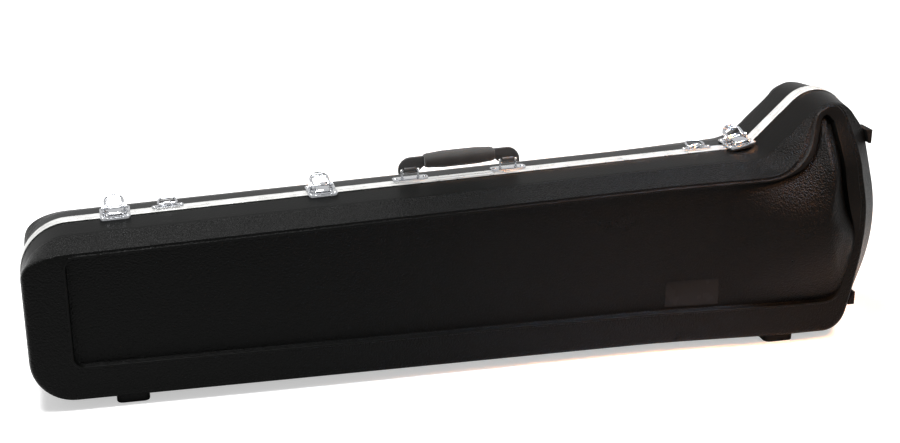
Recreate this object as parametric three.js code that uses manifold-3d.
// Moulded two-half trombone case with draw latches, carry handle, strap rings and a fitted lining.
// Millimetres, +Z up, +X towards the bell end, -Y towards the front half, which is the lid.
// The case stands on its feet with the handle on top.

import * as THREE from 'three';
import { mergeVertices } from 'three/addons/utils/BufferGeometryUtils.js';
import Module from 'manifold-3d';

const wasm = await Module();
wasm.setup();

const half = (value) => value / 2;

// Overall shape, seen from the front, measured from the slide end and from the underside
const caseLength = 1013.5;
const slideEndHeight = 187.5;
const crownHeight = 306;
const crownSetback = 66.5;
const crownReach = caseLength - crownSetback;
const neckSetback = 155.5;
const neckReach = caseLength - neckSetback;
const neckDrop = 86;
const neckHeight = crownHeight - neckDrop;
const shoulderSetback = 25.5;
const shoulderReach = caseLength - shoulderSetback;
const shoulderDrop = 54;
const shoulderHeight = crownHeight - shoulderDrop;
const toeSetback = 32.5;
const toeReach = caseLength - toeSetback;
// The bulge's corner lies outside the case, because its arc is wide
const bulgeOvershoot = 8.5;
const bulgeReach = caseLength + bulgeOvershoot;
const bulgeHeight = half(shoulderHeight);

// Depths of each half, from the parting plane to the face
const bodyDepth = 76;
const bellDepth = 86;
const bellDome = 34;
const stripDepth = 41;
const bellStripDepth = 52;
const crownFall = 30;
const crownFallStart = neckHeight - 15;
const crownFallFull = crownHeight - 21;
const bellStart = neckReach - 158;
const bellFull = neckReach + 47;
const flareStart = neckReach - 58;
const domeStart = neckReach - 68;
const domeFull = neckReach + 67;
const bellAxisHeight = crownHeight - 156;

// Corner radii of the outline
const heelRadius = 50;
const toeRadius = 36;
const bulgeRadius = 206;
const shoulderRadius = 50;
const crownRadius = 40;
const neckRadius = 32;
const topCornerRadius = 58;

// The recessed face panel: its outline, depth and the bead around it
const panelLeft = 50;
const panelBottom = 43;
const panelTopLeft = slideEndHeight - 16;
const panelNeckReach = neckReach + 39;
const panelNeckHeight = neckHeight - 17;
const panelCrownReach = crownReach - 7;
const panelCrownHeight = crownHeight + 9.5;
const panelShoulderReach = shoulderReach - 32;
const panelShoulderHeight = shoulderHeight - 52;
const panelBulgeReach = bulgeReach - 48;
const panelBulgeHeight = half(panelBottom + panelShoulderHeight);
const panelToeReach = toeReach - 26;
const panelCornerRadius = 13;
const panelToeRadius = 24;
const panelSideRadius = 90;
const panelCrownRadius = 13.9;
const panelNeckRadius = 68;
const panelRecess = 5;
const beadHeight = 1.6;
const beadCrest = 1.1;
const beadRun = 1.1;

// The bead swells into a tube over the bell, and it and the recess fade out low on the bell end.
// A crest is half the spread of the bead's two crest lines, and a run goes from one down to its foot.
const tubeStart = neckReach + 17;
const tubeFull = neckReach + 42;
const tubeHeight = 3.8;
const tubeCrest = 2;
const tubeRun = 1.6;
const tubeTurn = crownReach - 15;
const tubeSideCrest = 7;
const fadeStart = crownReach - 7;
const fadeFull = crownReach + 17;
const fadeLow = bellAxisHeight - 35;
const fadeHigh = bellAxisHeight + 20;

// How far the strip beside the parting plane has drawn in at its edge, on each side of the outline
const bottomInset = 0.6;
const toeInset = 3;
const endInset = 3.5;
const crownInset = 5.2;
const neckInset = 3.5;
const topInset = 3.2;
const heelInset = 1.5;

// Walls and clearances
const shellWall = 3;
const gap = 0.3;
const overrun = 4;
const finest = 0.02;

// Aluminium valances that edge the two halves
const valanceWall = 1.2;
const valanceReach = 8.5;
const flangeReach = 9.5;
const webFront = 3.2;
const webRear = 5.2;
const tongueWidth = 1.6;
const tongueReach = 2.6;
const grooveSlack = 0.7;

// Bottom hinges
const hingePlaces = [150, half(caseLength), neckReach - 28];
const hingeWidth = 54;
const leafReach = 20;
const leafThick = 1.2;
const knuckleRadius = 3;
const pinRadius = 1.3;
const hingeDrop = 5.2;
const leafSeat = 2.2;

// Feet
const footHeight = 9.5;
const footSink = 22;
const footLength = 37;
const footWidth = 32;
const footRadius = 7;
const footPlaces = [112, toeReach - 92];
const footDepths = [50, 58];
const endFootLength = 17;
const endFootWidth = 26;
const endFootStand = 3.5;
const endFootRadius = 5;
const endFootHeights = [31, shoulderHeight - 14];
const endFootDepth = 44;
const endFootSink = 100;

// Draw latches, each on a level or tilted seat along the top edge
const latchPlaces = [108, half(caseLength) - 165, neckReach - 8];
const latchTilts = [0, 0, 8];
const latchLifts = [0, 0, 4];
const latchWidth = 34;
const plateThick = 1.2;
const plateReach = 21;
const plateSkirt = 6;
const pivotDepth = 5.5;
const pivotHeight = 5.2;
const pivotRadius = 1.2;
const earThick = 1.5;
const earRadius = 3.3;
const leverWidth = 23;
const leverThick = 1.4;
const leverSlope = 21;
const leverLength = 9.5;
const leverRoot = 1.5;
const leverWindow = 3;
const cheekMargin = 1;
const earMargin = 3;
const earFlat = 0.6;
const ribPlaces = [13.4, 16.6];
const ribLength = 15;
const ribWidth = 1.3;
const ribHeight = 0.9;
const hookWidth = 15;
const hookPivotDepth = 12.5;
const hookEyeRadius = 2.7;
const hookReach = 13.5;
const hookThick = 1.4;
const noseLength = 2.4;
const keeperReach = 17;
const keeperMargin = 2;
const guideStart = 2;
const guideRamp = 3;
const stopHeight = 1.7;
const guideThick = 1.6;
const guideHeight = 3.4;

// Carry handle and its brackets
const handlePlace = half(caseLength);
const handleSpan = 118;
const bracketWidth = 42;
const bracketReach = 16;
const staplePitch = 19;
const wireRadius = 1.3;
const barHeight = 11;
const barDepth = 9;
const strapThick = 5;
const strapHeight = 12;
const strapRise = 15;
const strapEnd = 14;
const strapCorner = 15;
const strapShoulder = 1;
const strapEyeRadius = 4.4;
const eyeWidth = 15;
const gripLength = 84;
const gripWidth = 19;
const gripHeight = 16;
const gripSwellHeight = 1.5;
const gripSides = 14;
const gripSquareness = 0.75;
const gripPlaceShares = [-0.5, -0.47, -0.15, 0.15, 0.47, 0.5];
const gripBulgeShares = [0.8, 1, 1, 1, 1, 0.8];
const gripSwellShares = [0, 0.2, 0.9, 0.9, 0.2, 0];

// Strap rings
const ringPlaces = [167, neckReach - 58];
const ringPlateWidth = 36;
const ringPlateReach = 10;
const ringWidth = 22;
const ringReach = 14;
const ringTaper = 0.8;
const ringHeight = 3.4;
const ringDepth = 5.5;
const saddleWidth = 8;
const saddleWall = 1.5;
const ringRestAngle = 8;

// Rivets
const rivetRadius = 2.2;
const rivetHeight = 1.1;
const rivetMargin = 1;
const rivetSides = 6;
const latchRivetPlace = half(latchWidth) - rivetRadius - rivetMargin;

// Lining: foam blocks with wells for the instrument
const liningInset = 6.5;
const liningEdge = shellWall + valanceWall + 3 * gap;
const liningStart = 1;
const bellWellReach = caseLength - 47.5;
const bellWellRadius = crownHeight - bellAxisHeight - 55;
const bellWellRim = 22;
const bellWellSides = 16;
const throatRadius = 30;
const throatReach = domeStart;
const bellFlareShares = [0.25, 0.5];
const bellTaperShares = [0.38, 0.66];
const stemReach = 400;
const stemRadius = 16.3;
const sectionWellDepth = 34;
const sectionWellLeft = 380;
const sectionWellRight = neckReach - 18;
const sectionWellLow = 45;
const sectionWellHigh = slideEndHeight - 11.5;
const pocketLeft = 62;
const pocketRight = 340;
const pocketLow = 45;
const pocketHigh = slideEndHeight - 27.5;
const pocketDepth = 62;
const slideWellDepth = 30;
const slideWellLeft = 55;
const slideWellRight = neckReach - 18;
const slideWellLow = 48;
const slideWellHigh = slideEndHeight - 19.5;

// Turn buttons that hold the slide in the lid
const buttonPlaces = [250, neckReach - 238];
const postSize = 22;
const buttonLength = 76;
const buttonWidth = 15;
const buttonThick = 4;
const buttonDepth = 3;
const buttonPinRadius = 2.4;

// Facets
const arcSteps = 4;
const roundSides = 8;
const wireSides = 6;
const wireSteps = 14;
const wireBend = 3.2;
const cornerSteps = 3;
const tabSteps = 8;
const strapSteps = 5;

const topSlope = (neckHeight - slideEndHeight) / neckReach;
const topAngle = Math.atan(topSlope);
const topAt = (x) => slideEndHeight + topSlope * x;

const mix = (a, b, share) => a + (b - a) * share;

// How far a place along the case belongs to the bell end, from 0 to 1
const bellShare = (x) => THREE.MathUtils.smoothstep(x, bellStart, bellFull);
const flareShare = (x) => THREE.MathUtils.smoothstep(x, flareStart, bellFull);
const domeShare = (x) => THREE.MathUtils.smoothstep(x, domeStart, domeFull);
const crownShare = (z) => THREE.MathUtils.smoothstep(z, crownFallStart, crownFallFull);
const faceDepth = (x, z) => (
  mix(bodyDepth, bellDepth, bellShare(x)) - crownFall * bellShare(x) * crownShare(z)
);
const stripEdge = (x) => mix(stripDepth, bellStripDepth, flareShare(x));

// Corners of the outline and of the panel, anticlockwise from the bottom of the slide end
const outline = [
  { x: 0, z: 0, r: heelRadius, along: 'tight', up: 'tight' },
  { x: toeReach, z: 0, r: toeRadius, along: 'even', up: 'tight' },
  { x: bulgeReach, z: bulgeHeight, r: bulgeRadius, along: 'even', up: 'even' },
  { x: shoulderReach, z: shoulderHeight, r: shoulderRadius, along: 'even', up: 'even' },
  { x: crownReach, z: crownHeight, r: crownRadius, along: 'even', up: 'even' },
  { x: neckReach, z: neckHeight, r: neckRadius, along: 'even', up: 'even' },
  { x: 0, z: slideEndHeight, r: topCornerRadius, along: 'tight', up: 'even' },
];
// How far the side that follows each corner has drawn in
const insets = [bottomInset, toeInset, endInset, crownInset, neckInset, topInset, heelInset];
const panel = [
  { x: panelLeft, z: panelBottom, r: panelCornerRadius },
  { x: panelToeReach, z: panelBottom, r: panelToeRadius },
  { x: panelBulgeReach, z: panelBulgeHeight, r: panelSideRadius },
  { x: panelShoulderReach, z: panelShoulderHeight, r: panelSideRadius },
  { x: panelCrownReach, z: panelCrownHeight, r: panelCrownRadius },
  { x: panelNeckReach, z: panelNeckHeight, r: panelNeckRadius },
  { x: panelLeft, z: panelTopLeft, r: panelCornerRadius },
];
const bottomEdge = 0;
const topEdge = 5;

// Places along the long edges where the depth changes towards the bell end, as shares of that stretch
const stationShares = [0.0, 0.3, 0.6];
const stations = stationShares.map((share) => mix(bellStart, bellFull, share));

// Between strip and panel the surface rolls over tightly on some sides and slopes evenly on others.
// Each ring is a share of the way from strip to face, and from strip to panel on a tight and on an even side.
const sectionShares = [
  { depth: 0.5, tight: 0.01, even: 0.42 },
  { depth: 0.8, tight: 0.035, even: 0.66 },
  { depth: 0.96, tight: 0.11, even: 0.78 },
  { depth: 1, tight: 0.3, even: 0.82 },
];
const domeRingShares = [0.35, 0.7];
const spineInset = 80;
const spineReach = crownReach - 29;

const step = THREE.MathUtils.smoothstep;
const tubeShare = (x, z) => step(x, tubeStart, tubeFull) * step(z, fadeLow, fadeHigh);
const lineShare = (x, z) => 1 - step(x, fadeStart, fadeFull) * (1 - step(z, fadeLow, fadeHigh));
const beadHeightAt = (x, z) => mix(beadHeight, tubeHeight, tubeShare(x, z)) * lineShare(x, z);
const recessAt = (x, z) => panelRecess * lineShare(x, z);
const tubeCrestAt = (x) => mix(tubeCrest, tubeSideCrest, step(x, tubeTurn, fadeStart));
const crestAt = (x, z) => mix(beadCrest, tubeCrestAt(x), tubeShare(x, z));
const footAt = (x, z) => crestAt(x, z) + mix(beadRun, tubeRun, tubeShare(x, z));

const leftOf = (d) => new THREE.Vector2(-d.y, d.x);

// The corner that each point of a rounded line belongs to
const cornerOf = outline.flatMap((corner, i) => {
  const places = i === bottomEdge || i === topEdge ? stations.length : 0;
  return Array(arcSteps + 1 + places).fill(corner);
});

// Points part of the way from one line to another, along the case and up it by the shares of their corner
function blend(from, to, shares) {
  return from.map((p, i) => new THREE.Vector2(
    mix(p.x, to[i].x, shares[cornerOf[i].along]),
    mix(p.y, to[i].y, shares[cornerOf[i].up]),
  ));
}

// Directions of the edges before and after a corner
function edgesAt(corners, i) {
  const count = corners.length;
  const at = (k) => new THREE.Vector2(corners[(k + count) % count].x, corners[(k + count) % count].z);
  const here = at(i);
  return [here.clone().sub(at(i - 1)).normalize(), at(i + 1).sub(here).normalize(), here];
}

// Moves each edge inwards by its own distance
function draw(corners, distances) {
  return corners.map((corner, i) => {
    const [before, after, here] = edgesAt(corners, i);
    const n1 = leftOf(before);
    const n2 = leftOf(after);
    const d1 = distances[(i + corners.length - 1) % corners.length];
    const d2 = distances[i];
    const together = n1.dot(n2);
    const spread = 1 - together * together;
    here.addScaledVector(n1, (d1 - together * d2) / spread);
    here.addScaledVector(n2, (d2 - together * d1) / spread);
    const turn = Math.sign(before.cross(after));
    return { ...corner, x: here.x, z: here.y, r: Math.max(corner.r - turn * half(d1 + d2), shellWall) };
  });
}

const inset = (corners, distance) => draw(corners, corners.map(() => distance));

// Rounds every corner with an arc, and adds the stations on the two long edges
function rounded(corners) {
  const points = [];
  corners.forEach((corner, i) => {
    const [before, after, here] = edgesAt(corners, i);
    const turn = Math.sign(before.cross(after));
    const angle = Math.acos(THREE.MathUtils.clamp(before.dot(after), -1, 1));
    const start = here.clone().addScaledVector(before, -corner.r * Math.tan(half(angle)));
    const centre = start.clone().addScaledVector(leftOf(before), turn * corner.r);
    for (let k = 0; k <= arcSteps; k += 1) {
      points.push(start.clone().rotateAround(centre, (turn * angle * k) / arcSteps));
    }
    if (i !== bottomEdge && i !== topEdge) return;
    const next = corners[(i + 1) % corners.length];
    const places = i === bottomEdge ? stations : [...stations].reverse();
    for (const x of places) {
      points.push(new THREE.Vector2(x, mix(corner.z, next.z, (x - corner.x) / (next.x - corner.x))));
    }
  });
  return points;
}

// Moves the points of a closed line inwards by a distance that depends on the place
function beside(points, distanceAt) {
  return points.map((p, i) => {
    const before = points[(i + points.length - 1) % points.length];
    const run = points[(i + 1) % points.length].clone().sub(before).normalize();
    return p.clone().addScaledVector(leftOf(run), distanceAt(p.x, p.y));
  });
}

// Joins closed rings of equal length into a solid; the ends are capped, or the last ring meets the first
function loft(rings, closed = false) {
  const size = rings[0].length;
  const positions = rings.flat().flatMap((p) => [p.x, p.y, p.z]);
  const index = [];
  const bands = closed ? rings.length : rings.length - 1;
  for (let k = 0; k < bands; k += 1) {
    const low = k * size;
    const high = ((k + 1) % rings.length) * size;
    for (let i = 0; i < size; i += 1) {
      const j = (i + 1) % size;
      index.push(low + i, low + j, high + j, low + i, high + j, high + i);
    }
  }
  if (!closed) {
    const last = (rings.length - 1) * size;
    const cap = (ring) => THREE.ShapeUtils.triangulateShape(ring.map((p) => new THREE.Vector2(p.x, p.z)), []);
    for (const [a, b, c] of cap(rings[0])) index.push(c, b, a);
    for (const [a, b, c] of cap(rings[rings.length - 1])) index.push(last + a, last + b, last + c);
  }
  const geometry = new THREE.BufferGeometry();
  geometry.setAttribute('position', new THREE.Float32BufferAttribute(positions, 3));
  geometry.setIndex(index);
  return facingOut(geometry);
}

// Turns a closed geometry's faces outwards if they point in
function facingOut(geometry) {
  const position = geometry.getAttribute('position');
  const index = geometry.getIndex().array;
  const [a, b, c] = [new THREE.Vector3(), new THREE.Vector3(), new THREE.Vector3()];
  let volume = 0;
  for (let i = 0; i < index.length; i += 3) {
    a.fromBufferAttribute(position, index[i]);
    b.fromBufferAttribute(position, index[i + 1]);
    c.fromBufferAttribute(position, index[i + 2]);
    volume += a.dot(b.cross(c));
  }
  if (volume < 0) geometry.setIndex(Array.from(index).reverse());
  return geometry;
}

function toSolid(geometry) {
  const bare = geometry.clone();
  for (const name of Object.keys(bare.attributes)) {
    if (name !== 'position') bare.deleteAttribute(name);
  }
  const merged = mergeVertices(bare);
  return new wasm.Manifold(new wasm.Mesh({
    numProp: 3,
    vertProperties: new Float32Array(merged.getAttribute('position').array),
    triVerts: new Uint32Array(merged.getIndex().array),
  }));
}

function toGeometry(solid) {
  const mesh = solid.simplify(finest).getMesh();
  const geometry = new THREE.BufferGeometry();
  geometry.setAttribute('position', new THREE.Float32BufferAttribute(mesh.vertProperties, 3));
  geometry.setIndex(Array.from(mesh.triVerts));
  return geometry;
}

const join = (...geometries) => toGeometry(geometries.map(toSolid).reduce((all, one) => all.add(one)));
function cut(geometry, ...tools) {
  return toGeometry(tools.map(toSolid).reduce((all, one) => all.subtract(one), toSolid(geometry)));
}

// One half of the case as a solid, from a start depth to the face. side is -1 at the front, +1 at the rear.
// Its face is 'beaded' like the outside, 'recessed' like the inside of the shell, or 'plain' like the lining.
function halfSolid(side, insetBy, start, kind, edgeBy = insetBy) {
  const edge = inset(outline, edgeBy);
  const strip = draw(edge, insets);
  const beaded = kind === 'beaded';
  const plain = kind === 'plain';
  const rim = plain ? inset(panel, half(insetBy)) : panel;
  const atDepth = (points, depth) => points.map((p) => new THREE.Vector3(p.x, side * depth(p.x, p.y), p.y));
  const ringAt = (corners, depth) => atDepth(rounded(corners), depth);
  const line = rounded(rim);
  const outerFoot = beaded ? beside(line, (x, z) => -footAt(x, z)) : line;
  const section = (shares) => blend(rounded(strip), outerFoot, shares);
  const face = (x, z) => faceDepth(x, z) - insetBy - (plain ? panelRecess : 0);
  const fromStrip = (share) => (x, z) => mix(stripEdge(x), face(x, z), share);
  const rings = [
    ringAt(edge, () => start),
    ringAt(edge, () => flangeReach),
    ringAt(strip, stripEdge),
    ...sectionShares.map((shares) => atDepth(section(shares), fromStrip(shares.depth))),
  ];
  if (beaded) {
    rings.push(atDepth(outerFoot, face));
    for (const way of [-1, 1]) {
      const ridge = beside(line, (x, z) => way * crestAt(x, z));
      rings.push(atDepth(ridge, (x, z) => face(x, z) + beadHeightAt(x, z)));
    }
  }
  const floor = (x, z) => face(x, z) - (plain ? 0 : recessAt(x, z));
  const foot = atDepth(beside(line, footAt), floor);
  rings.push(foot);
  for (const share of domeRingShares) {
    rings.push(foot.map((p) => {
      const x = THREE.MathUtils.clamp(p.x, spineInset, spineReach);
      const middle = mix(half(panelBottom + topAt(x)), bellAxisHeight, bellShare(x));
      const placed = new THREE.Vector3(mix(p.x, x, share), 0, mix(p.z, middle, share));
      placed.y = side * (floor(placed.x, placed.z) + bellDome * domeShare(placed.x) * (1 - (1 - share) ** 2));
      return placed;
    }));
  }
  return loft(rings);
}

// A prism of the outline, moved outwards by a distance, between two depths
function outlinePrism(outBy, from, to) {
  const points = rounded(inset(outline, -outBy));
  return loft([from, to].map((y) => points.map((p) => new THREE.Vector3(p.x, y, p.y))));
}

// Everything that hardware on the outside has to stay clear of
const envelope = join(
  outlinePrism(valanceWall + gap + gap, -valanceReach - gap, valanceReach + gap),
  halfSolid(-1, -gap, flangeReach - overrun, 'beaded'),
  halfSolid(1, -gap, flangeReach - overrun, 'beaded'),
);

function box(x0, x1, y0, y1, z0, z1) {
  const geometry = new THREE.BoxGeometry(x1 - x0, y1 - y0, z1 - z0);
  return geometry.translate(half(x0 + x1), half(y0 + y1), half(z0 + z1));
}

// A cylinder along X
function rod(radius, x0, x1, y, z, sides = roundSides) {
  const geometry = new THREE.CylinderGeometry(radius, radius, x1 - x0, sides);
  return geometry.rotateZ(half(Math.PI)).translate(half(x0 + x1), y, z);
}

// A shape drawn in depth and height, extruded along X
function alongX(points, x0, x1) {
  const shape = new THREE.Shape(points.map(([y, z]) => new THREE.Vector2(y, z)));
  const geometry = new THREE.ExtrudeGeometry(shape, { depth: x1 - x0, bevelEnabled: false });
  return geometry.applyMatrix4(new THREE.Matrix4().makeBasis(
    new THREE.Vector3(0, 1, 0),
    new THREE.Vector3(0, 0, 1),
    new THREE.Vector3(1, 0, 0),
  )).translate(x0, 0, 0);
}

// A closed box with rounded upright edges, standing on z 0
function roundedBlock(length, width, height, radius) {
  const [x, y] = [half(length), half(width)];
  const shape = new THREE.Shape();
  shape.moveTo(radius - x, -y);
  shape.lineTo(x - radius, -y);
  shape.absarc(x - radius, radius - y, radius, -half(Math.PI), 0, false);
  shape.lineTo(x, y - radius);
  shape.absarc(x - radius, y - radius, radius, 0, half(Math.PI), false);
  shape.lineTo(radius - x, y);
  shape.absarc(radius - x, y - radius, radius, half(Math.PI), Math.PI, false);
  shape.lineTo(-x, radius - y);
  shape.absarc(radius - x, radius - y, radius, -Math.PI, -half(Math.PI), false);
  return new THREE.ExtrudeGeometry(shape, { depth: height, bevelEnabled: false, curveSegments: cornerSteps });
}

// A round wire along points, bent with small curves, with flat ends
function wire(points, radius, steps) {
  const circle = new THREE.Shape().absarc(0, 0, radius, 0, 2 * Math.PI, false);
  const path = new THREE.CurvePath();
  const last = points.length - 1;
  const beside = (i, next) => {
    const away = points[next].clone().sub(points[i]);
    return points[i].clone().add(away.setLength(wireBend));
  };
  for (let i = 0; i < last; i += 1) {
    const start = i > 0 ? beside(i, i + 1) : points[i];
    const end = i < last - 1 ? beside(i + 1, i) : points[i + 1];
    path.add(new THREE.LineCurve3(start, end));
    if (i < last - 1) path.add(new THREE.QuadraticBezierCurve3(end, points[i + 1], beside(i + 1, i + 2)));
  }
  return new THREE.ExtrudeGeometry(circle, {
    steps,
    extrudePath: path,
    curveSegments: wireSides,
    bevelEnabled: false,
  });
}

const materials = {
  abs: { color: 0x161616, roughness: 0.42, metalness: 0 },
  aluminium: { color: 0xc9c9c6, roughness: 0.32, metalness: 1 },
  chrome: { color: 0xd4d6da, roughness: 0.12, metalness: 1 },
  rubber: { color: 0x0d0d0d, roughness: 0.75, metalness: 0 },
  strap: { color: 0x1a1a19, roughness: 0.6, metalness: 0 },
  foam: { color: 0x232322, roughness: 0.85, metalness: 0 },
  plush: { color: 0x1c1c22, roughness: 0.95, metalness: 0 },
};

const trombone_case = new THREE.Group();

function add(parent, name, geometry, finish) {
  const mesh = new THREE.Mesh(geometry, new THREE.MeshStandardMaterial(materials[finish]));
  mesh.name = name;
  parent.add(mesh);
  return mesh;
}

// Shells: moulded skins, open at the parting plane
function addShell(name, side, start) {
  const skin = halfSolid(side, 0, start, 'beaded');
  const hollow = halfSolid(side, shellWall, start - overrun, 'recessed');
  add(trombone_case, name, cut(skin, hollow), 'abs');
}

// Valances: channels that hold the shells' edges. The front one has a tongue, the rear one its groove.
function addValance(name, side, web, extras) {
  const outer = -valanceWall - gap;
  const inner = shellWall + gap;
  const section = [
    [outer, gap], [outer, valanceReach], [-gap, valanceReach], [-gap, web],
    [inner, web], [inner, valanceReach], [inner + valanceWall, valanceReach], [inner + valanceWall, gap],
    ...extras,
  ];
  const rings = section.map(([margin, depth]) => rounded(inset(outline, margin))
    .map((p) => new THREE.Vector3(p.x, side * depth, p.y)));
  add(trombone_case, name, loft(rings, true), 'aluminium');
}

const tongueStart = half(shellWall - tongueWidth);
const tongueEnd = tongueStart + tongueWidth;
const tongue = [[tongueEnd, gap], [tongueEnd, -tongueReach], [tongueStart, -tongueReach], [tongueStart, gap]];
const grooveDepth = tongueReach + grooveSlack;
const groove = [
  [tongueEnd + grooveSlack, gap],
  [tongueEnd + grooveSlack, grooveDepth],
  [tongueStart - grooveSlack, grooveDepth],
  [tongueStart - grooveSlack, gap],
];

addShell('front_shell', -1, webFront + gap);
addShell('rear_shell', 1, webRear + gap);
addValance('front_valance', -1, webFront, tongue);
addValance('rear_valance', 1, webRear, groove);

// Linings: foam blocks that fill the shells, with wells cut from the parting plane
const rimReach = bellWellReach - bellWellRim;
const bellWellProfile = [
  [bellWellReach, 0],
  [bellWellReach, bellWellRadius],
  [rimReach, bellWellRadius],
  ...bellFlareShares.map((share, i) => [
    mix(rimReach, throatReach, share),
    mix(bellWellRadius, throatRadius, bellTaperShares[i]),
  ]),
  [throatReach, throatRadius],
  [stemReach, stemRadius],
  [stemReach, 0],
];

function bellWell() {
  const profile = bellWellProfile.map(([x, r]) => new THREE.Vector2(r, x));
  const geometry = new THREE.LatheGeometry(profile, bellWellSides);
  return geometry.rotateZ(-half(Math.PI)).translate(0, 0, bellAxisHeight);
}

function well(side, left, right, low, high, depth) {
  const [near, far] = side < 0 ? [-depth, overrun] : [-overrun, depth];
  return box(left, right, near, far, low, high);
}

function addLining(name, side, ...wells) {
  const block = halfSolid(side, liningInset, liningStart, 'plain', liningEdge);
  add(trombone_case, name, cut(block, facingOutWell(), ...wells), 'plush');
}

function facingOutWell() {
  const bare = bellWell();
  bare.deleteAttribute('normal');
  bare.deleteAttribute('uv');
  return facingOut(mergeVertices(bare));
}

addLining(
  'rear_lining',
  1,
  well(1, sectionWellLeft, sectionWellRight, sectionWellLow, sectionWellHigh, sectionWellDepth),
  well(1, pocketLeft, pocketRight, pocketLow, pocketHigh, pocketDepth),
);
addLining(
  'front_lining',
  -1,
  well(-1, slideWellLeft, slideWellRight, slideWellLow, slideWellHigh, slideWellDepth),
);

// Turn buttons and their posts, on the floor of the slide well
buttonPlaces.forEach((place, i) => {
  const seat = new THREE.Group();
  seat.position.set(place, 0, half(slideWellLow + slideWellHigh));
  trombone_case.add(seat);
  const top = buttonDepth + buttonThick + gap;
  const [postLeft, postRight] = [-half(postSize), half(postSize)];
  const post = box(postLeft, postRight, gap - slideWellDepth, -top, postLeft, postRight);
  const pinLength = slideWellDepth - buttonDepth;
  const pin = new THREE.CylinderGeometry(buttonPinRadius, buttonPinRadius, pinLength, roundSides);
  pin.translate(0, -half(slideWellDepth + buttonDepth) + gap, 0);
  add(seat, `slide_button_post_${i + 1}`, join(post, pin), 'rubber');
  const bar = roundedBlock(buttonLength, buttonWidth, buttonThick, half(buttonWidth) - gap);
  bar.rotateX(half(Math.PI)).translate(0, -buttonDepth - gap, 0);
  const holeRadius = buttonPinRadius + gap;
  const hole = new THREE.CylinderGeometry(holeRadius, holeRadius, slideWellDepth, roundSides);
  add(seat, `slide_button_${i + 1}`, cut(bar, hole), 'rubber');
});

// Hinges along the bottom, with their pin on the parting plane
const leafTop = half(valanceWall) - leafSeat;
const leafUnder = leafTop - leafThick;
const tongueWide = 2 * knuckleRadius;

function leaf(side, places) {
  const parts = places.map(([x0, x1]) => join(
    rod(knuckleRadius, x0, x1, 0, -hingeDrop),
    box(x0, x1, Math.min(0, side * tongueWide), Math.max(0, side * tongueWide), leafUnder, leafTop),
  ));
  const inner = side * (knuckleRadius + gap + gap);
  const outer = side * leafReach;
  parts.push(box(
    -half(hingeWidth),
    half(hingeWidth),
    Math.min(inner, outer),
    Math.max(inner, outer),
    leafUnder,
    leafTop,
  ));
  const headX = half(hingeWidth) - 2 * rivetRadius;
  const headY = side * (leafReach - 2 * rivetRadius);
  const heads = [-headX, headX].map((x) => rivet(x, headY, leafUnder + gap, true));
  return cut(join(...parts, ...heads), rod(pinRadius + gap, -hingeWidth, hingeWidth, 0, -hingeDrop));
}

const third = hingeWidth / 3;
hingePlaces.forEach((place, i) => {
  const seat = new THREE.Group();
  seat.position.x = place;
  trombone_case.add(seat);
  const ends = [[-half(hingeWidth), -half(third) - gap], [half(third) + gap, half(hingeWidth)]];
  add(seat, `hinge_${i + 1}_front_leaf`, leaf(-1, ends), 'chrome');
  add(seat, `hinge_${i + 1}_rear_leaf`, leaf(1, [[-half(third), half(third)]]), 'chrome');
  const pin = rod(pinRadius, -half(hingeWidth), half(hingeWidth), 0, -hingeDrop);
  add(seat, `hinge_${i + 1}_pin`, pin, 'chrome');
});

// Feet on the underside and on the bell end, cut to sit on the shells
footPlaces.forEach((place, i) => {
  for (const [word, side] of [['front', -1], ['rear', 1]]) {
    const foot = roundedBlock(footLength, footWidth, footHeight + footSink, footRadius);
    foot.translate(place, side * footDepths[i], -footHeight);
    add(trombone_case, `foot_${word}_${i + 1}`, cut(foot, envelope), 'rubber');
  }
});
endFootHeights.forEach((height, i) => {
  for (const [word, side] of [['front', -1], ['rear', 1]]) {
    const foot = roundedBlock(endFootLength, endFootWidth, endFootSink, endFootRadius);
    foot.rotateY(half(Math.PI)).translate(0, side * endFootDepth, height);
    const reach = endReach(height);
    foot.translate(reach + endFootStand - endFootSink, 0, 0);
    add(trombone_case, `end_foot_${word}_${i + 1}`, outermost(cut(foot, envelope)), 'rubber');
  }
});

// How far the bell end reaches at a height
function endReach(height) {
  const points = rounded(outline);
  let reach = 0;
  points.forEach((p, i) => {
    const q = points[(i + 1) % points.length];
    if ((p.y - height) * (q.y - height) > 0 || p.y === q.y) return;
    reach = Math.max(reach, mix(p.x, q.x, (height - p.y) / (q.y - p.y)));
  });
  return reach;
}

// The piece of a cut solid that reaches furthest along X
function outermost(geometry) {
  const pieces = toSolid(geometry).decompose();
  const reach = (piece) => piece.boundingBox().max[0];
  return toGeometry(pieces.reduce((best, piece) => (reach(piece) > reach(best) ? piece : best)));
}

// A seat on the top edge: hardware is drawn level in it, with z 0 on the valance's outer face
function seatAt(place, tilt = 0, lift = 0) {
  const seat = new THREE.Group();
  seat.position.set(place, 0, topAt(place) + (valanceWall + gap) / Math.cos(topAngle) + lift);
  seat.rotation.y = -topAngle - THREE.MathUtils.degToRad(tilt);
  trombone_case.add(seat);
  seat.updateMatrixWorld(true);
  return seat;
}

// A plate on a seat, between two depths, whose skirt is cut to the case under it
function seatedPlate(seat, width, y0, y1, skirt, x = 0) {
  const [near, far] = [Math.min(y0, y1), Math.max(y0, y1)];
  const plate = box(x - half(width), x + half(width), near, far, -skirt, gap + plateThick);
  const placed = plate.applyMatrix4(seat.matrix);
  return cut(placed, envelope).applyMatrix4(seat.matrix.clone().invert());
}

// The side plate of a lever or base around the latch pivot
function cheek(x0, x1, radius, points) {
  return join(rod(radius, x0, x1, pivotDepth, pivotHeight), alongX(points, x0, x1));
}

const plateTop = gap + plateThick;
const leverStart = pivotDepth - leverRoot;

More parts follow.
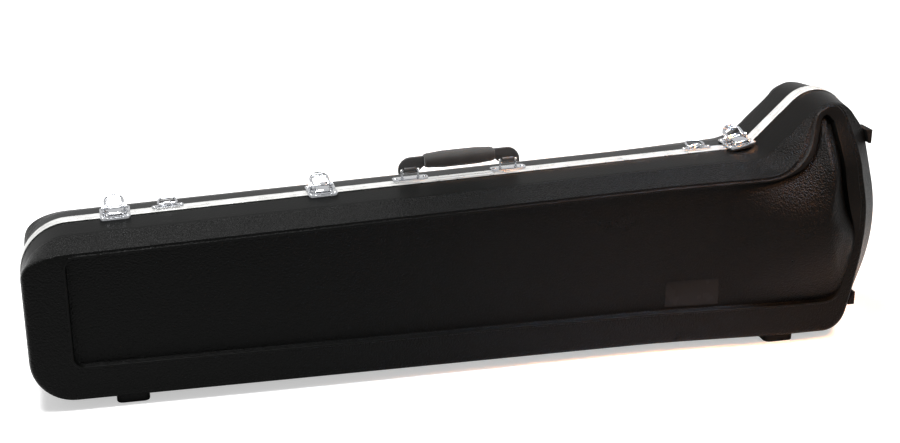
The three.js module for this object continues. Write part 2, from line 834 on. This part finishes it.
function latchBase(seat) {
  const plate = seatedPlate(seat, latchWidth, 2 * gap, plateReach, plateSkirt);
  const earX = half(leverWidth) + 2 * gap;
  const outlinePoints = [
    [pivotDepth - earRadius - cheekMargin, plateTop - gap],
    [pivotDepth + earRadius + earMargin, plateTop - gap],
    [pivotDepth + half(earRadius), pivotHeight + earRadius - earFlat],
    [pivotDepth - half(earRadius), pivotHeight + earRadius - earFlat],
  ];
  const ears = [-1, 1].map((side) => {
    const [x0, x1] = side < 0 ? [-earX - earThick, -earX] : [earX, earX + earThick];
    return cheek(x0, x1, earRadius, outlinePoints);
  });
  const heads = rivetPair(latchRivetPlace, plateReach - rivetRadius - keeperMargin);
  const whole = join(plate, ...ears, ...heads);
  return cut(whole, rod(pivotRadius + gap, -latchWidth, latchWidth, pivotDepth, pivotHeight));
}

function latchLever() {
  const slope = THREE.MathUtils.degToRad(leverSlope);
  const radius = half(leverWidth);
  const shape = new THREE.Shape();
  shape.moveTo(-radius, 0);
  shape.lineTo(radius, 0);
  shape.lineTo(radius, leverLength);
  shape.absarc(0, leverLength, radius, 0, Math.PI, false);
  const top = new THREE.ExtrudeGeometry(shape, {
    depth: leverThick,
    bevelEnabled: false,
    curveSegments: tabSteps,
  });
  const [ribLeft, ribRight] = [-half(ribLength), half(ribLength)];
  const [ribUnder, ribTop] = [leverThick - gap, leverThick + ribHeight];
  const ribs = ribPlaces.map((y) => box(ribLeft, ribRight, y, y + ribWidth, ribUnder, ribTop));
  // The hook swings up through a window in the lever
  const opening = half(hookWidth) + 2 * gap;
  const windowEnd = (hookPivotDepth + leverWindow - leverStart) / Math.cos(slope);
  const window = box(-opening, opening, -leverWindow, windowEnd, -leverThick, 2 * leverThick);
  const plate = cut(join(top, ...ribs), window);
  plate.rotateX(slope).translate(0, leverStart, pivotHeight + earRadius - leverThick);
  const cheeks = [-1, 1].map((side) => {
    const [x0, x1] = side < 0 ? [-radius, earThick - radius] : [radius - earThick, radius];
    const rise = (y) => pivotHeight + earRadius - half(leverThick) + (y - leverStart) * Math.tan(slope);
    const back = hookPivotDepth + hookEyeRadius;
    return cheek(x0, x1, earRadius - gap, [
      [pivotDepth, pivotHeight - earRadius + gap],
      [back, pivotHeight - hookEyeRadius + gap],
      [back + cheekMargin, rise(back + cheekMargin)],
      [leverStart + cheekMargin, rise(leverStart + cheekMargin)],
    ]);
  });
  const stubReach = radius + earThick + gap;
  const stubs = [
    rod(pivotRadius, -stubReach, gap - radius, pivotDepth, pivotHeight),
    rod(pivotRadius, radius - gap, stubReach, pivotDepth, pivotHeight),
  ];
  const hookPin = rod(pivotRadius, gap - radius, radius - gap, hookPivotDepth, pivotHeight);
  return join(plate, ...cheeks, ...stubs, hookPin);
}

function latchHook() {
  const [x0, x1] = [-half(hookWidth), half(hookWidth)];
  const low = pivotHeight - half(hookThick);
  const arm = box(x0, x1, -hookReach, hookPivotDepth, low, low + hookThick);
  const nose = alongX([
    [-hookReach, low + hookThick],
    [-hookReach - half(noseLength), low],
    [-hookReach - half(noseLength), plateTop + 2 * gap],
    [-hookReach + noseLength, plateTop + 2 * gap],
    [-hookReach + noseLength, low + half(hookThick)],
  ], x0, x1);
  const eye = rod(hookEyeRadius, x0, x1, hookPivotDepth, pivotHeight);
  return cut(join(arm, nose, eye), rod(pivotRadius + gap, x0 - gap, x1 + gap, hookPivotDepth, pivotHeight));
}

function latchKeeper(seat) {
  const plate = seatedPlate(seat, latchWidth, -2 * gap, -keeperReach - keeperMargin, plateSkirt);
  const inner = half(hookWidth) + 2 * gap;
  const back = half(keeperMargin) - keeperReach - keeperMargin;
  const guides = [-1, 1].map((side) => {
    const [x0, x1] = side < 0 ? [-inner - guideThick, -inner] : [inner, inner + guideThick];
    return alongX([
      [back, plateTop - gap],
      [-guideStart, plateTop - gap],
      [-guideStart - guideRamp, plateTop + guideHeight],
      [back + half(guideRamp), plateTop + guideHeight],
    ], x0, x1);
  });
  const stop = box(-inner - gap, inner + gap, back, back + guideThick, plateTop - gap, plateTop + stopHeight);
  const heads = rivetPair(latchRivetPlace, rivetRadius + keeperMargin - keeperReach);
  return join(plate, ...guides, stop, ...heads);
}

// Two rivet heads on a plate, either side of its middle
function rivetPair(x, y) {
  return [-x, x].map((place) => rivet(place, y, plateTop - gap));
}

// A rivet's head, standing on a plate, or hanging under it where it points down
function rivet(x, y, z, down = false) {
  const head = new THREE.LatheGeometry([
    new THREE.Vector2(0, 0),
    new THREE.Vector2(rivetRadius, 0),
    new THREE.Vector2(rivetRadius, half(rivetHeight)),
    new THREE.Vector2(half(rivetRadius), rivetHeight),
    new THREE.Vector2(0, rivetHeight),
  ], rivetSides);
  return head.rotateX(down ? -half(Math.PI) : half(Math.PI)).translate(x, y, z);
}

latchPlaces.forEach((place, i) => {
  const seat = seatAt(place, latchTilts[i], latchLifts[i]);
  add(seat, `latch_${i + 1}_base`, latchBase(seat), 'chrome');
  add(seat, `latch_${i + 1}_lever`, latchLever(), 'chrome');
  add(seat, `latch_${i + 1}_hook`, latchHook(), 'chrome');
  add(seat, `latch_${i + 1}_keeper`, latchKeeper(seat), 'chrome');
});

// Handle: two wire staples on plates, a strap that swings on them and a padded grip
const handleSeat = seatAt(handlePlace);

function staple(centre) {
  const x = half(staplePitch);
  const points = [[-x, plateTop - gap], [-x, barHeight], [x, barHeight], [x, plateTop - gap]]
    .map(([dx, z]) => new THREE.Vector3(centre + dx, barDepth, z));
  return wire(points, wireRadius, wireSteps);
}

function handleStrap() {
  const reach = half(handleSpan) + strapEnd;
  const top = barHeight + strapRise;
  const straight = half(gripLength) + gap;
  const inner = half(handleSpan) - half(eyeWidth) - strapShoulder;
  const shape = new THREE.Shape();
  shape.moveTo(-reach, barHeight);
  shape.lineTo(-inner, barHeight);
  shape.lineTo(-straight, top - strapHeight);
  shape.lineTo(straight, top - strapHeight);
  shape.lineTo(inner, barHeight);
  shape.lineTo(reach, barHeight);
  shape.lineTo(reach, top - strapCorner);
  shape.absarc(reach - strapCorner, top - strapCorner, strapCorner, 0, half(Math.PI), false);
  shape.lineTo(strapCorner - reach, top);
  shape.absarc(strapCorner - reach, top - strapCorner, strapCorner, half(Math.PI), Math.PI, false);
  const arch = new THREE.ExtrudeGeometry(shape, {
    depth: strapThick,
    bevelEnabled: false,
    curveSegments: strapSteps,
  });
  arch.rotateX(half(Math.PI)).translate(0, barDepth + half(strapThick), 0);
  const parts = [arch];
  const holes = [];
  for (const side of [-1, 1]) {
    const centre = side * half(handleSpan);
    parts.push(rod(strapEyeRadius, centre - half(eyeWidth), centre + half(eyeWidth), barDepth, barHeight));
    holes.push(rod(wireRadius + gap, centre - eyeWidth, centre + eyeWidth, barDepth, barHeight));
    const legX = half(staplePitch);
    for (const x of [centre - legX, centre + legX]) {
      const clear = 2 * wireRadius + gap;
      holes.push(box(x - clear, x + clear, 0, 2 * barDepth, -barHeight, barHeight + clear));
    }
  }
  return cut(join(...parts), ...holes);
}

function handleGrip() {
  const centre = barHeight + strapRise - half(strapHeight);
  const round = (value) => Math.sign(value) * Math.abs(value) ** gripSquareness;
  const rings = gripPlaceShares.map((place, k) => {
    const swell = gripSwellHeight * gripSwellShares[k];
    const wide = half(gripWidth) * gripBulgeShares[k] + swell;
    const high = half(gripHeight) * gripBulgeShares[k] + swell;
    return Array.from({ length: gripSides }, (_, i) => {
      const angle = (2 * Math.PI * i) / gripSides;
      const [across, up] = [wide * round(Math.cos(angle)), high * round(Math.sin(angle))];
      return new THREE.Vector3(across, place * gripLength, up);
    });
  });
  const sleeve = loft(rings).rotateZ(-half(Math.PI)).translate(0, barDepth, centre);
  const core = box(
    -gripLength,
    gripLength,
    barDepth - half(strapThick) - gap,
    barDepth + half(strapThick) + gap,
    centre - half(strapHeight) - gap,
    centre + half(strapHeight) + gap,
  );
  return cut(sleeve, core);
}

[-1, 1].forEach((side, i) => {
  const centre = side * half(handleSpan);
  const plate = seatedPlate(handleSeat, bracketWidth, 2 * gap, bracketReach, plateSkirt, centre);
  const x = half(bracketWidth) - rivetRadius - rivetMargin;
  const heads = [-x, x].map((place) => rivet(centre + place, barDepth, plateTop - gap));
  add(handleSeat, `handle_bracket_${i + 1}`, join(plate, staple(centre), ...heads), 'chrome');
});
add(handleSeat, 'handle_strap', handleStrap(), 'strap');
add(handleSeat, 'handle_grip', handleGrip(), 'foam');

// Strap rings, lying back on the rear half
ringPlaces.forEach((place, i) => {
  const seat = seatAt(place);
  const plate = seatedPlate(seat, ringPlateWidth, 2 * gap, ringPlateReach, plateSkirt);
  const saddle = box(
    -half(saddleWidth),
    half(saddleWidth),
    ringDepth - wireRadius - saddleWall,
    ringDepth + wireRadius + saddleWall,
    plateTop - gap,
    ringHeight + wireRadius + saddleWall,
  );
  const hole = rod(wireRadius + gap, -saddleWidth, saddleWidth, ringDepth, ringHeight);
  const heads = rivetPair(half(ringPlateWidth) - rivetRadius - gap, ringDepth);
  add(seat, `strap_ring_plate_${i + 1}`, cut(join(plate, saddle, ...heads), hole), 'chrome');
  const x = half(ringWidth);
  const points = [[-x, 0], [-x * ringTaper, ringReach], [x * ringTaper, ringReach], [x, 0]]
    .map(([dx, dy]) => new THREE.Vector3(dx, dy, 0));
  const bar = rod(wireRadius, -x - half(wireRadius), x + half(wireRadius), 0, 0);
  const ring = join(wire(points, wireRadius, wireSteps), bar);
  ring.rotateX(THREE.MathUtils.degToRad(ringRestAngle)).translate(0, ringDepth, ringHeight);
  add(seat, `strap_ring_${i + 1}`, ring, 'chrome');
});

// The origin is the centre of the box round the whole case, on the floor
const extent = new THREE.Box3().setFromObject(trombone_case, true);
trombone_case.position.set(-half(extent.min.x + extent.max.x), 0, -extent.min.z);

export default trombone_case;
